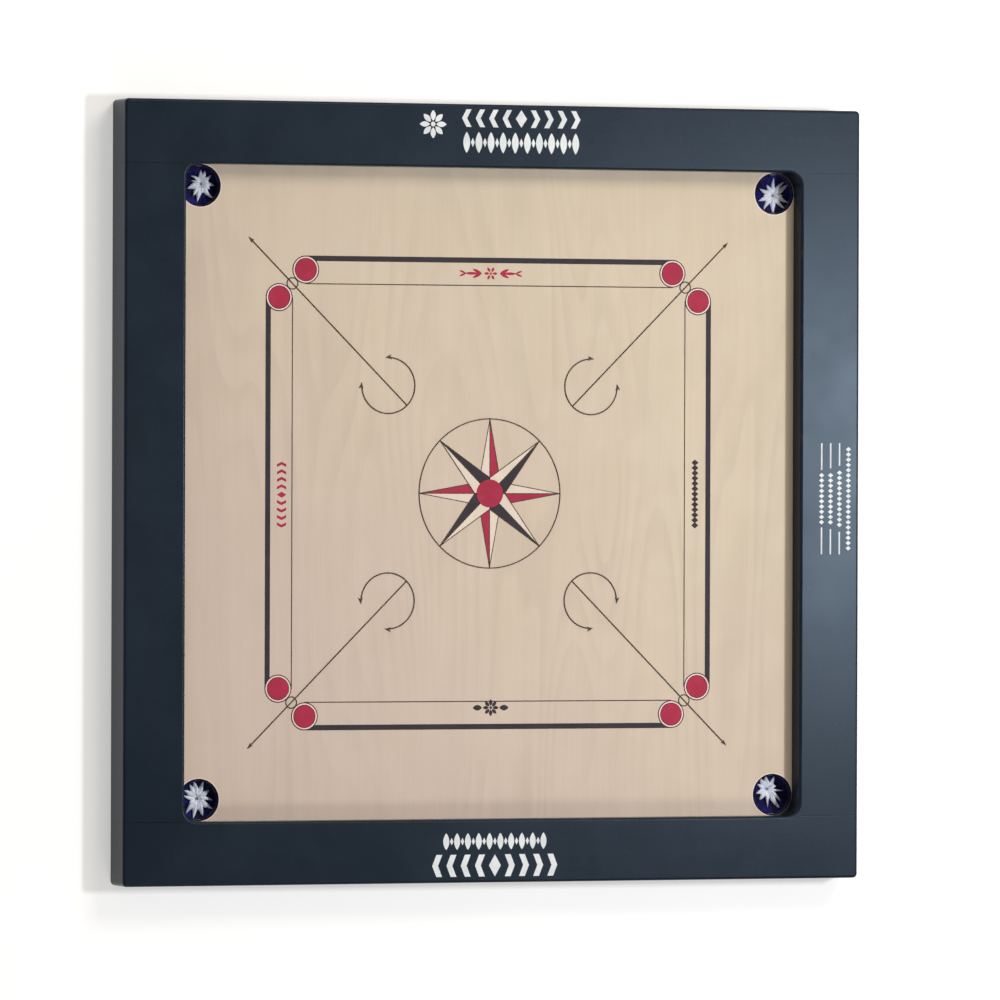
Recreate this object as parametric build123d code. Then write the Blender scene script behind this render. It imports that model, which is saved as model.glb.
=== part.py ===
from build123d import *
import math
import os

# A full-size carrom board lying flat: four half-lapped rails around a birch plywood panel, with a
# cloth pouch in each corner pocket and a grid of battens underneath.
# Millimetres. +X is to the front player's right, +Y away from the front player, +Z up.
# The origin is the centre of the underside.

# Playing surface and pockets
PLAY_SIDE = 740.0
POCKET_RADIUS = 24.0
POCKET_CENTRE = PLAY_SIDE / 2 - POCKET_RADIUS

# Frame
RAIL_WIDTH = 72.0
FRAME_HEIGHT = 50.0
RAIL_RISE = 25.0             # top of the rails above the playing surface
OUTER_CORNER_RADIUS = 5.0
TOP_ROUNDING = 3.0           # round-over on the frame's upper edges
BOTTOM_CHAMFER = 1.5
COVE_RADIUS = 16.0           # rounding of the frame's inner corners
REBATE_WIDTH = 12.0          # how far the panel runs in under each rail
GLUE_LINE = 0.1              # gap at the faces of a corner lap
COVE_TIP = 0.35              # thickness at which the tapering ends of a cove are trimmed

# Plywood panel
PANEL_THICKNESS = 12.0
PANEL_CLEARANCE = 0.3

# Battens under the panel
BATTEN_WIDTH = 38.0
BATTEN_THICKNESS = 12.0
BATTEN_OFFSET = 125.0        # distance of each batten's middle from the board's middle
BATTEN_HOUSING = 15.0        # how far a batten's end is let into the rail
HOUSING_CLEARANCE = 0.2

# Pocket pouches
POUCH_FIT = 0.1              # gap between the cloth and the wall of its hole
CLOTH_THICKNESS = 1.2        # a pleated double layer
POUCH_RIM_DROP = 0.5         # top of the cloth below the playing surface
POUCH_DEPTH = 18.2           # underside of the pouch floor below the playing surface
BOWL_ROUNDING = 8.0
GATHER_RADIUS = 2.5          # the cloth gathered into a stub under the pouch
GATHER_LENGTH = 4.8
TIE_CORD_RADIUS = 0.8
TIE_TURN_PITCH = 1.4         # the two turns of cord press into each other a little

# Staples that hold a pouch to the wall of its hole
STAPLES_PER_POCKET = 6
STAPLE_WIRE = 0.6
STAPLE_CROWN = 7.0
STAPLE_LEG = 6.5
STAPLE_DROP = 6.0            # below the playing surface

# Countersunk screws, driven upwards: length, shank radius and head radius
CORNER_SCREW = (40.0, 2.25, 4.5)
PANEL_SCREW = (25.0, 1.75, 3.5)
BATTEN_SCREW = (18.0, 1.75, 3.5)
BATTEN_END_SCREW = (30.0, 1.75, 3.5)
SCREW_SINK = 0.4             # head below the wood's surface
SCREW_POINT = 4.0
RECESS_LENGTH = 4.2          # cross recess in each head
RECESS_WIDTH = 0.9
RECESS_DEPTH = 1.2
CORNER_SCREW_STAGGER = 14.0  # each of a lap's two screws from the middle of the lap
PANEL_SCREW_SPACING = (-300.0, -210.0, 0.0, 210.0, 300.0)
BATTEN_SCREW_SPACING = (-310.0, -210.0, 0.0, 210.0, 310.0)

# Worked out from the sizes above
PLAY_HALF = PLAY_SIDE / 2
OUTER_HALF = PLAY_HALF + RAIL_WIDTH
REBATE_HALF = PLAY_HALF + REBATE_WIDTH
PANEL_HALF = REBATE_HALF - PANEL_CLEARANCE
SURFACE_Z = FRAME_HEIGHT - RAIL_RISE
PANEL_BOTTOM_Z = SURFACE_Z - PANEL_THICKNESS
BATTEN_BOTTOM_Z = PANEL_BOTTOM_Z - BATTEN_THICKNESS
BATTEN_HALF_LENGTH = REBATE_HALF + BATTEN_HOUSING - HOUSING_CLEARANCE
POUCH_FLOOR_Z = SURFACE_Z - POUCH_DEPTH

CORNERS = {
    "front_left": (-1, -1),
    "front_right": (1, -1),
    "back_left": (-1, 1),
    "back_right": (1, 1),
}
UPRIGHT = (Align.CENTER, Align.CENTER, Align.MIN)


def block(x_range, y_range, z_range):
    """A box given by its range along each axis."""
    ranges = (x_range, y_range, z_range)
    size = [high - low for low, high in ranges]
    start = [low for low, high in ranges]
    return Pos(*start) * Box(*size, align=(Align.MIN, Align.MIN, Align.MIN))


def screw_blank(length, shank_radius, head_radius):
    """A countersunk screw without its recess: head at z = 0, point up."""
    head_height = head_radius - shank_radius
    outline = Polygon(
        (0, 0),
        (head_radius, 0),
        (shank_radius, head_height),
        (shank_radius, length - SCREW_POINT),
        (0, length),
        align=None,
    )
    return revolve(Plane.XZ * outline, Axis.Z)


def screw(size):
    """A countersunk screw with a cross recess in its head."""
    slot = Box(RECESS_LENGTH, RECESS_WIDTH, 2 * RECESS_DEPTH)
    return screw_blank(*size) - slot - Rot(0, 0, 90) * slot


def screw_hole(size):
    """The hole that a screw fills, open at the wood's surface below its head."""
    head_radius = size[2]
    mouth = Pos(0, 0, -2 * SCREW_SINK) * Cylinder(head_radius, 2 * SCREW_SINK, align=UPRIGHT)
    return screw_blank(*size) + mouth


def at_points(shape, points):
    """Copies of a shape, one at each point."""
    return [Pos(*point) * shape for point in points]


def corner_screw_points():
    """Two screws in each corner lap, staggered along its diagonal."""
    middle_x = (REBATE_HALF + OUTER_HALF) / 2
    middle_y = (PLAY_HALF + OUTER_HALF) / 2
    points = []
    for side_x, side_y in CORNERS.values():
        for shift in (-CORNER_SCREW_STAGGER, CORNER_SCREW_STAGGER):
            points.append((side_x * (middle_x + shift), side_y * (middle_y + shift), SCREW_SINK))
    return points


def panel_screw_points():
    """Screws through the panel into the rebate lip, along all four sides."""
    edge = PLAY_HALF + REBATE_WIDTH / 2
    height = PANEL_BOTTOM_Z + SCREW_SINK
    points = []
    for along in PANEL_SCREW_SPACING:
        for side in (-1, 1):
            points.append((along, side * edge, height))
            points.append((side * edge, along, height))
    return points


def batten_points(spacing):
    """The same spacing along all four battens, at their underside."""
    height = BATTEN_BOTTOM_Z + SCREW_SINK
    points = []
    for along in spacing:
        for side in (-1, 1):
            points.append((along, side * BATTEN_OFFSET, height))
            points.append((side * BATTEN_OFFSET, along, height))
    return points


def screw_groups():
    """Every group of screws: its node, its size and its points."""
    end = REBATE_HALF + BATTEN_HOUSING / 2
    return {
        "corner_screws": (CORNER_SCREW, corner_screw_points()),
        "panel_screws": (PANEL_SCREW, panel_screw_points()),
        "batten_screws": (BATTEN_SCREW, batten_points(BATTEN_SCREW_SPACING)),
        "batten_end_screws": (BATTEN_END_SCREW, batten_points((-end, end))),
    }


def screw_holes(*names):
    """The holes of the named groups of screws."""
    holes = []
    for name in names:
        size, points = screw_groups()[name]
        holes += at_points(screw_hole(size), points)
    return holes


def straight_batten():
    """A batten along X through the middle, before its notches."""
    across = (-BATTEN_WIDTH / 2, BATTEN_WIDTH / 2)
    along = (-BATTEN_HALF_LENGTH, BATTEN_HALF_LENGTH)
    return block(along, across, (BATTEN_BOTTOM_Z, PANEL_BOTTOM_Z))


def battens():
    """Two battens along X and two along Y, cross-halved where they meet."""
    half_notch = BATTEN_WIDTH / 2 + HOUSING_CLEARANCE
    notch = ((-half_notch, half_notch), (-BATTEN_WIDTH, BATTEN_WIDTH))
    middle_z = (PANEL_BOTTOM_Z + BATTEN_BOTTOM_Z) / 2
    top_notch = block(*notch, (middle_z, FRAME_HEIGHT))
    bottom_notch = block(*notch, (0, middle_z))
    crossings = (-BATTEN_OFFSET, BATTEN_OFFSET)
    under = straight_batten() - [Pos(x, 0, 0) * top_notch for x in crossings]
    over = straight_batten() - [Pos(x, 0, 0) * bottom_notch for x in crossings]
    over = Rot(0, 0, 90) * over
    placed = {
        "front_batten": Pos(0, -BATTEN_OFFSET, 0) * under,
        "back_batten": Pos(0, BATTEN_OFFSET, 0) * under,
        "left_batten": Pos(-BATTEN_OFFSET, 0, 0) * over,
        "right_batten": Pos(BATTEN_OFFSET, 0, 0) * over,
    }
    holes = screw_holes("batten_screws", "batten_end_screws")
    return {name: batten - holes for name, batten in placed.items()}


def frame_ring():
    """The whole frame in one, before it is divided into rails and coves."""
    outline = RectangleRounded(2 * OUTER_HALF, 2 * OUTER_HALF, OUTER_CORNER_RADIUS)
    opening = RectangleRounded(PLAY_SIDE, PLAY_SIDE, COVE_RADIUS)
    ring = extrude(outline, FRAME_HEIGHT)
    ring = fillet(ring.edges().group_by(Axis.Z)[-1], TOP_ROUNDING)
    ring = chamfer(ring.edges().group_by(Axis.Z)[0], BOTTOM_CHAMFER)
    ring -= extrude(opening, FRAME_HEIGHT)
    inner_edges = ring.edges().group_by(Axis.Z)[-1].filter_by(
        lambda edge: max(abs(edge.center().X), abs(edge.center().Y)) < REBATE_HALF
    )
    ring = fillet(inner_edges, TOP_ROUNDING)
    rebate = (-REBATE_HALF, REBATE_HALF)
    ring -= block(rebate, rebate, (0, SURFACE_Z))
    return ring


def batten_housings():
    """The notches in the rails' undersides that take the ends of the battens."""
    reach = BATTEN_HALF_LENGTH + HOUSING_CLEARANCE
    half_width = BATTEN_WIDTH / 2 + HOUSING_CLEARANCE
    height = PANEL_BOTTOM_Z + HOUSING_CLEARANCE
    space = block((-reach, reach), (-half_width, half_width), (0, height))
    housings = []
    for side in (-1, 1):
        housings.append(Pos(0, side * BATTEN_OFFSET, 0) * space)
        housings.append(Rot(0, 0, 90) * Pos(0, side * BATTEN_OFFSET, 0) * space)
    return housings


def rails(ring):
    """Front and back rails lap over the tongues at the ends of the left and right rails."""
    side_y = PLAY_HALF - GLUE_LINE
    right_region = block((PLAY_HALF, OUTER_HALF), (-side_y, side_y), (0, FRAME_HEIGHT))
    right_region += block(
        (REBATE_HALF, OUTER_HALF), (-OUTER_HALF, OUTER_HALF), (0, SURFACE_Z - GLUE_LINE)
    )
    lower_x = REBATE_HALF - GLUE_LINE
    back_region = block(
        (-OUTER_HALF, OUTER_HALF), (PLAY_HALF, OUTER_HALF), (SURFACE_Z, FRAME_HEIGHT)
    )
    back_region += block((-lower_x, lower_x), (PLAY_HALF, OUTER_HALF), (0, SURFACE_Z))
    half_turn = Rot(0, 0, 180)
    regions = {
        "front_rail": half_turn * back_region,
        "back_rail": back_region,
        "left_rail": half_turn * right_region,
        "right_rail": right_region,
    }
    cuts = batten_housings()
    cuts += screw_holes("corner_screws", "panel_screws", "batten_end_screws")
    drilled = ring - cuts
    return {name: drilled & region for name, region in regions.items()}


def corner_coves(ring):
    """The pieces that round each inner corner of the frame."""
    # A cove is COVE_RADIUS * (1 - cos a) thick at the angle a from its tapering end.
    tip_angle = math.acos(1 - COVE_TIP / COVE_RADIUS)
    start = PLAY_HALF - COVE_RADIUS + COVE_RADIUS * math.sin(tip_angle)
    region = block((start, PLAY_HALF), (start, PLAY_HALF), (SURFACE_Z, FRAME_HEIGHT))
    back_right = ring & region
    turn_to = {"back_right": 0, "back_left": 90, "front_left": 180, "front_right": 270}
    return {f"{corner}_cove": Rot(0, 0, turn) * back_right for corner, turn in turn_to.items()}


def staple():
    """A wire staple at a pocket's +X side: crown against the cloth, legs pointing outwards."""
    cloth_radius = POCKET_RADIUS - POUCH_FIT - CLOTH_THICKNESS
    half_crown = STAPLE_CROWN / 2
    half_wire = STAPLE_WIRE / 2
    crown_x = math.sqrt(cloth_radius ** 2 - half_crown ** 2)
    crown = block(
        (crown_x - STAPLE_WIRE, crown_x), (-half_crown, half_crown), (-half_wire, half_wire)
    )
    leg = block(
        (crown_x - STAPLE_WIRE, crown_x + STAPLE_LEG),
        (half_crown - STAPLE_WIRE, half_crown),
        (-half_wire, half_wire),
    )
    return crown + leg + mirror(leg, Plane.XZ)


def pocket_staples():
    """All the staples, around the four pockets."""
    step = 360 / STAPLES_PER_POCKET
    height = SURFACE_Z - STAPLE_DROP
    staples = []
    for side_x, side_y in CORNERS.values():
        centre = Pos(side_x * POCKET_CENTRE, side_y * POCKET_CENTRE, height)
        for index in range(STAPLES_PER_POCKET):
            staples.append(centre * Rot(0, 0, step * (index + 0.5)) * staple())
    return staples


def playing_panel():
    """The plywood sheet with its four pocket holes."""
    across = (-PANEL_HALF, PANEL_HALF)
    panel = block(across, across, (PANEL_BOTTOM_Z, SURFACE_Z))
    hole = Pos(0, 0, PANEL_BOTTOM_Z) * Cylinder(POCKET_RADIUS, PANEL_THICKNESS, align=UPRIGHT)
    centres = [(x * POCKET_CENTRE, y * POCKET_CENTRE, 0) for x, y in CORNERS.values()]
    panel -= at_points(hole, centres)
    panel -= screw_holes("panel_screws", "batten_screws")
    return panel - pocket_staples()


def pouch():
    """A cloth pouch about the Z axis: lining, round-bottomed bowl and gathered stub."""
    outer_radius = POCKET_RADIUS - POUCH_FIT
    inner_radius = outer_radius - CLOTH_THICKNESS
    height = POUCH_DEPTH - POUCH_RIM_DROP
    bowl = Cylinder(outer_radius, height, align=UPRIGHT)
    bowl = fillet(bowl.edges().group_by(Axis.Z)[0], BOWL_ROUNDING)
    hollow = Cylinder(inner_radius, height, align=UPRIGHT)
    hollow = fillet(hollow.edges().group_by(Axis.Z)[0], BOWL_ROUNDING - CLOTH_THICKNESS)
    bowl -= Pos(0, 0, CLOTH_THICKNESS) * hollow
    stub_height = GATHER_LENGTH + CLOTH_THICKNESS
    stub = Pos(0, 0, -GATHER_LENGTH) * Cylinder(GATHER_RADIUS, stub_height, align=UPRIGHT)
    return Pos(0, 0, POUCH_FLOOR_Z) * (bowl + stub)


def pouch_tie():
    """Two turns of cord round the gathered stub."""
    turn = Torus(GATHER_RADIUS + TIE_CORD_RADIUS, TIE_CORD_RADIUS)
    lower_z = POUCH_FLOOR_Z - (GATHER_LENGTH + TIE_TURN_PITCH) / 2
    return Pos(0, 0, lower_z) * turn + Pos(0, 0, lower_z + TIE_TURN_PITCH) * turn


def pocket_pieces():
    """The pouch and its tie in each corner, and all the staples as one group."""
    staples = pocket_staples()
    cloth = pouch()
    pieces = {}
    for corner, (side_x, side_y) in CORNERS.items():
        place = Pos(side_x * POCKET_CENTRE, side_y * POCKET_CENTRE, 0)
        pieces[f"{corner}_pouch"] = place * cloth - staples
        pieces[f"{corner}_pouch_tie"] = place * pouch_tie()
    pieces["pocket_staples"] = Compound(staples)
    return pieces


def screws():
    """Each group of screws as one compound."""
    groups = screw_groups()
    return {name: Compound(at_points(screw(size), points)) for name, (size, points) in groups.items()}


def carrom_board():
    """Every piece of the board, by name."""
    ring = frame_ring()
    pieces = rails(ring)
    pieces.update(corner_coves(ring))
    pieces["playing_panel"] = playing_panel()
    pieces.update(battens())
    pieces.update(pocket_pieces())
    pieces.update(screws())
    return pieces


os.makedirs("parts", exist_ok=True)
for node, shape in carrom_board().items():
    export_step(shape, f"parts/{node}.step")
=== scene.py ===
import math
import random

import bpy
from mathutils import Matrix, Vector, noise


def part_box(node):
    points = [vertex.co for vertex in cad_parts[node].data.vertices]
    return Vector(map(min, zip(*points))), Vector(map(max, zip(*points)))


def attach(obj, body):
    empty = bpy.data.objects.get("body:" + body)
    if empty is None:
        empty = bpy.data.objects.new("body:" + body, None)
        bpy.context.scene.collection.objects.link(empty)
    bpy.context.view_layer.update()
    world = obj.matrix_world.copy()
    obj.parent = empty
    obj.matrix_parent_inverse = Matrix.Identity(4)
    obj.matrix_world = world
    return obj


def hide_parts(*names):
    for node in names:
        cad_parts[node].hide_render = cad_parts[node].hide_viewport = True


# The looks of a carrom board: painted frame, birch panel with its printed markings, gathered cloth
# pouches and the wood and hardware underneath. Blender's units are metres; sizes named here are in
# millimetres unless their name says otherwise, and MM turns them into metres.

MM = 0.001

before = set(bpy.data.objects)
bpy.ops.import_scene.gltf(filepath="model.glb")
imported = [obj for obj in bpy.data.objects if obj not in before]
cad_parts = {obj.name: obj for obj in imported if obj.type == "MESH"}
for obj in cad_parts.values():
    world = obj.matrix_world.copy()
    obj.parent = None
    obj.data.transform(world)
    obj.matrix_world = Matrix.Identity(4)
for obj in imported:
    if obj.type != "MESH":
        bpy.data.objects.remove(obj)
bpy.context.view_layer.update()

SURFACE_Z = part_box("playing_panel")[1].z / MM
RAIL_TOP_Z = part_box("back_rail")[1].z / MM
CORNERS = {
    "front_left": (-1, -1),
    "front_right": (1, -1),
    "back_left": (-1, 1),
    "back_right": (1, 1),
}

# Camera: far off, tilted towards the board's left side
CAMERA_TILT = 0.33697
CAMERA_LEAN = -0.00284
CAMERA_ROLL = 0.00332
CAMERA_AIM_M = (0.01248, -0.0074, 0.025)
CAMERA_DISTANCE_M = 10.0
CAMERA_LENS = 315.95

# Printed markings
LINE_SIDE = 252.6            # middles of the base circles along the base lines
LINE_ACROSS = 221.1
BASE_OUTER = 15.9
BASE_BAND = 14.7
BASE_RING = 13.2
BASE_DISC = 12.4
THICK_LINE = (262.4, 268.5)
THIN_LINE = (236.1, 237.3)
CORNER_CIRCLE = (5.8, 7.0)
CORNER_CIRCLE_AT = 236.85
ARROW_START = 99.7
ARROW_TIP = 289.0
ARROW_WIDTH = 1.35
ARC_CENTRE = 122.2
ARC_RADIUS = 31.75
CENTRE_CIRCLE = (84.4, 85.5)
CENTRE_DISC = 15.9
STAR_TIP = 84.4
STAR_RED_WAIST = 18.2        # how far out the corners between the points are
STAR_DARK_WAIST = 18.0
STAR_OUTLINE = 0.9
FILM_GAP = 0.01              # the ink's underside above the wood or paint
FILM_STEP = 0.08             # height of one layer of ink

# Frame paint
JOINT_LINE_Y = 369.95        # the corner joints' lines on the left and right rails' tops
JOINT_LINE_WIDTH = (0.15, 0.5)
JOINT_LINE_START = (372.0, 374.0)


# ---------------------------------------------------------------- shader helpers

def new_material(name):
    """A material with an empty Principled shader; returns it with its tree and shader node."""
    material = bpy.data.materials.new(name)
    material.use_nodes = True
    tree = material.node_tree
    shader = tree.nodes["Principled BSDF"]
    return material, tree, shader


def add(tree, kind, inputs=None, **settings):
    """A node of this kind, with settings and with its inputs set to values or linked to sockets."""
    made = tree.nodes.new(kind)
    for key, value in settings.items():
        setattr(made, key, value)
    for key, value in (inputs or {}).items():
        connect(tree, value, made.inputs[key])
    return made


def connect(tree, value, socket):
    """Sets a socket to a value, or links another node's output to it."""
    if isinstance(value, bpy.types.NodeSocket):
        tree.links.new(value, socket)
    else:
        socket.default_value = value


def calc(tree, operation, first, second=0.0, third=0.0):
    """The output of a Math node."""
    made = tree.nodes.new("ShaderNodeMath")
    made.operation = operation
    connect(tree, first, made.inputs[0])
    connect(tree, second, made.inputs[1])
    if operation == "MULTIPLY_ADD":
        connect(tree, third, made.inputs[2])
    return made.outputs[0]


def object_place(tree):
    """Object coordinates, which are the board's own in metres."""
    return add(tree, "ShaderNodeTexCoord").outputs["Object"]


def stretched(tree, place, scale, location=(0, 0, 0)):
    """Coordinates scaled along each axis, then shifted."""
    inputs = {"Vector": place, "Scale": scale, "Location": location}
    return add(tree, "ShaderNodeMapping", inputs).outputs["Vector"]


def lengthwise(along, lengthways, across):
    """Scales for a texture drawn out along X or along Y."""
    return (lengthways, across, across) if along == "x" else (across, lengthways, across)


def noise_value(tree, place, scale, detail=3.0, rough=0.5, warp=0.0):
    """The value of a noise texture, from 0 to 1."""
    made = add(
        tree,
        "ShaderNodeTexNoise",
        {"Vector": place, "Scale": scale, "Detail": detail, "Roughness": rough, "Distortion": warp},
    )
    return made.outputs["Fac"]


def ranged(tree, value, low, high, to_low=0.0, to_high=1.0, smooth=True):
    """A value mapped from one range to another, clamped."""
    made = add(
        tree,
        "ShaderNodeMapRange",
        {"Value": value, "From Min": low, "From Max": high, "To Min": to_low, "To Max": to_high},
        interpolation_type="SMOOTHSTEP" if smooth else "LINEAR",
    )
    return made.outputs["Result"]


def blend(tree, factor, first, second, mode="MIX"):
    """Two colours mixed by a factor."""
    made = tree.nodes.new("ShaderNodeMix")
    made.data_type = "RGBA"
    made.blend_type = mode
    connect(tree, factor, made.inputs["Factor"])
    for index, value in ((6, first), (7, second)):
        if isinstance(value, tuple) and len(value) == 3:
            value = (*value, 1.0)
        connect(tree, value, made.inputs[index])
    return made.outputs[2]


def brightened(tree, color, factor):
    """A colour multiplied by a grey factor."""
    combined = add(
        tree, "ShaderNodeCombineColor", {"Red": factor, "Green": factor, "Blue": factor}
    )
    return blend(tree, 1.0, color, combined.outputs["Color"], "MULTIPLY")


def bump(tree, shader, height, distance, strength):
    """Surface relief from a height value; distance is the relief's depth in metres."""
    inputs = {"Height": height, "Distance": distance, "Strength": strength}
    made = add(tree, "ShaderNodeBump", inputs)
    tree.links.new(made.outputs["Normal"], shader.inputs["Normal"])


def parts_of(tree, place):
    """The X, Y and Z values of coordinates."""
    made = add(tree, "ShaderNodeSeparateXYZ", {"Vector": place})
    return made.outputs["X"], made.outputs["Y"], made.outputs["Z"]


def joined(tree, x, y, z):
    """Coordinates from X, Y and Z values."""
    return add(tree, "ShaderNodeCombineXYZ", {"X": x, "Y": y, "Z": z}).outputs["Vector"]


def normal_up(tree):
    """The upward part of the surface's direction: 1 facing up, -1 facing down."""
    return parts_of(tree, add(tree, "ShaderNodeNewGeometry").outputs["Normal"])[2]


def distance_from(tree, x, y):
    """The distance of (x, y) from the origin."""
    squares = calc(tree, "ADD", calc(tree, "MULTIPLY", x, x), calc(tree, "MULTIPLY", y, y))
    return calc(tree, "SQRT", squares)


def from_corner_point(tree, x, y, node):
    """X and Y measured from the middle of a round back right node, alike in all four corners."""
    low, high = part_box(node)
    middle = (low.x + high.x) / 2
    local_x = calc(tree, "SUBTRACT", calc(tree, "ABSOLUTE", x), middle)
    local_y = calc(tree, "SUBTRACT", calc(tree, "ABSOLUTE", y), middle)
    return local_x, local_y


# ---------------------------------------------------------------- materials

def frame_paint(along):
    """Satin blue-black paint over hardwood, brushed along the rail's length."""
    material, tree, shader = new_material(f"frame_paint_{along}")
    place = object_place(tree)
    x, y, _ = parts_of(tree, place)
    grain_place = stretched(tree, place, lengthwise(along, 3.0, 160.0))
    grain = noise_value(tree, grain_place, 1.0, 4.0, 0.55)
    bristle_place = stretched(tree, place, lengthwise(along, 18.0, 900.0))
    bristles = noise_value(tree, bristle_place, 1.0, 2.0, 0.6)
    cloudy = noise_value(tree, place, 9.0, 4.0, 0.6)
    peel = noise_value(tree, place, 700.0, 2.0, 0.5)

    deep = (0.0084, 0.0138, 0.0225)
    light = (0.0115, 0.0176, 0.0280)
    color = blend(tree, ranged(tree, cloudy, 0.35, 0.68), deep, light)
    warm = (0.0145, 0.0148, 0.0190)
    color = blend(tree, ranged(tree, grain, 0.52, 0.72, 0.0, 0.35), color, warm)

    # Fine dust and nibs standing in the paint
    cells = add(tree, "ShaderNodeTexVoronoi", {"Vector": place, "Scale": 420.0})
    nib = ranged(tree, cells.outputs["Distance"], 0.10, 0.03)
    chosen = ranged(tree, noise_value(tree, place, 130.0, 1.0), 0.60, 0.66)
    nib = calc(tree, "MULTIPLY", nib, chosen)
    color = blend(tree, calc(tree, "MULTIPLY", nib, 0.45), color, (0.09, 0.10, 0.11))

    # The corner joints show as fine lines where the paint has sunk
    across = calc(tree, "ABSOLUTE", y)
    gap = calc(tree, "ABSOLUTE", calc(tree, "SUBTRACT", across, JOINT_LINE_Y * MM))
    line = ranged(tree, gap, JOINT_LINE_WIDTH[1] * MM, JOINT_LINE_WIDTH[0] * MM)
    start, full = JOINT_LINE_START
    past = ranged(tree, calc(tree, "ABSOLUTE", x), start * MM, full * MM)
    joint = calc(tree, "MULTIPLY", line, past)
    broken = ranged(tree, noise_value(tree, place, 60.0, 2.0), 0.30, 0.55, 0.35, 1.0)
    joint = calc(tree, "MULTIPLY", joint, broken)
    color = blend(tree, calc(tree, "MULTIPLY", joint, 0.8), color, (0.002, 0.0025, 0.003))

    # Rounded edges are rubbed here and there down to the brown primer
    slant = calc(tree, "ABSOLUTE", normal_up(tree))
    edge = calc(
        tree, "MULTIPLY", ranged(tree, slant, 0.25, 0.55), ranged(tree, slant, 0.93, 0.75)
    )
    rubbed = ranged(tree, noise_value(tree, place, 34.0, 5.0, 0.65), 0.60, 0.70)
    rubbed = calc(tree, "MULTIPLY", edge, rubbed)
    color = blend(tree, calc(tree, "MULTIPLY", rubbed, 0.55), color, (0.060, 0.040, 0.030))
    tree.links.new(color, shader.inputs["Base Color"])

    rough = ranged(tree, cloudy, 0.30, 0.70, 0.255, 0.295, smooth=False)
    rough = calc(tree, "ADD", rough, calc(tree, "MULTIPLY", rubbed, 0.2))
    tree.links.new(rough, shader.inputs["Roughness"])
    shader.inputs["IOR"].default_value = 1.21
    shader.inputs["Specular Tint"].default_value = (0.66, 0.82, 1.0, 1.0)

    height = calc(tree, "MULTIPLY", grain, 0.5)
    height = calc(tree, "ADD", height, calc(tree, "MULTIPLY", bristles, 0.25))
    height = calc(tree, "ADD", height, calc(tree, "MULTIPLY", peel, 0.15))
    height = calc(tree, "ADD", height, nib)
    height = calc(tree, "SUBTRACT", height, joint)
    bump(tree, shader, height, 0.05 * MM, 0.6)
    return material


def birch_color(tree, place):
    """Rotary-cut birch veneer with its grain along Y: returns its colour and its relief."""
    x, y, _ = parts_of(tree, place)
    sway = noise_value(tree, stretched(tree, place, (4.0, 1.3, 0.0)), 1.0, 2.0)
    x_bent = calc(tree, "MULTIPLY_ADD", sway, 0.035, x)
    bent = joined(tree, x_bent, y, 0.0)

    # Cathedral figure: growth rings as level lines of a long, smooth hill
    hill_place = stretched(tree, bent, (7.5, 1.25, 1.0), (3.1, 1.7, 0.0))
    hill = noise_value(tree, hill_place, 1.0, 1.5, 0.45, 0.25)
    ring = calc(tree, "FRACT", calc(tree, "MULTIPLY", hill, 17.0))
    late_wood = calc(
        tree, "MULTIPLY", ranged(tree, ring, 0.25, 0.88), ranged(tree, ring, 1.0, 0.90)
    )
    fading = ranged(tree, noise_value(tree, place, 5.0, 2.0), 0.35, 0.65, 0.15, 1.0)
    late_wood = calc(tree, "MULTIPLY", late_wood, fading)

    fibres = noise_value(tree, stretched(tree, bent, (620.0, 8.0, 1.0)), 1.0, 4.0, 0.6)
    streaks = noise_value(tree, stretched(tree, bent, (70.0, 1.1, 1.0)), 1.0, 3.0, 0.55)
    flecks = noise_value(tree, stretched(tree, bent, (1300.0, 60.0, 1.0)), 1.0, 1.0)
    flecks = ranged(tree, flecks, 0.66, 0.76)
    mottle = noise_value(tree, stretched(tree, place, (6.0, 3.2, 1.0)), 1.0, 3.0, 0.55)

    # Pinker towards the front left, yellower and a little lighter towards the back right: partly a
    # tone in the veneer, partly painted light from the side where the key light stands
    pink = (0.560, 0.446, 0.371)
    yellow = (0.576, 0.482, 0.362)
    side = calc(tree, "ADD", calc(tree, "MULTIPLY", x, 0.62), calc(tree, "MULTIPLY", y, 0.75))
    side = calc(tree, "MULTIPLY_ADD", mottle, 0.55, side)
    color = blend(tree, ranged(tree, side, -0.12, 0.62), pink, yellow)

    tone = calc(tree, "MULTIPLY_ADD", late_wood, -0.060, 1.0)
    tone = calc(tree, "MULTIPLY_ADD", calc(tree, "SUBTRACT", fibres, 0.5), 0.11, tone)
    tone = calc(tree, "MULTIPLY_ADD", calc(tree, "SUBTRACT", streaks, 0.5), 0.10, tone)
    tone = calc(tree, "MULTIPLY_ADD", flecks, -0.045, tone)
    tone = calc(tree, "MULTIPLY_ADD", calc(tree, "SUBTRACT", mottle, 0.5), 0.07, tone)
    color = brightened(tree, color, tone)
    relief = calc(tree, "ADD", fibres, calc(tree, "MULTIPLY", flecks, -0.8))
    return color, relief


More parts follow.
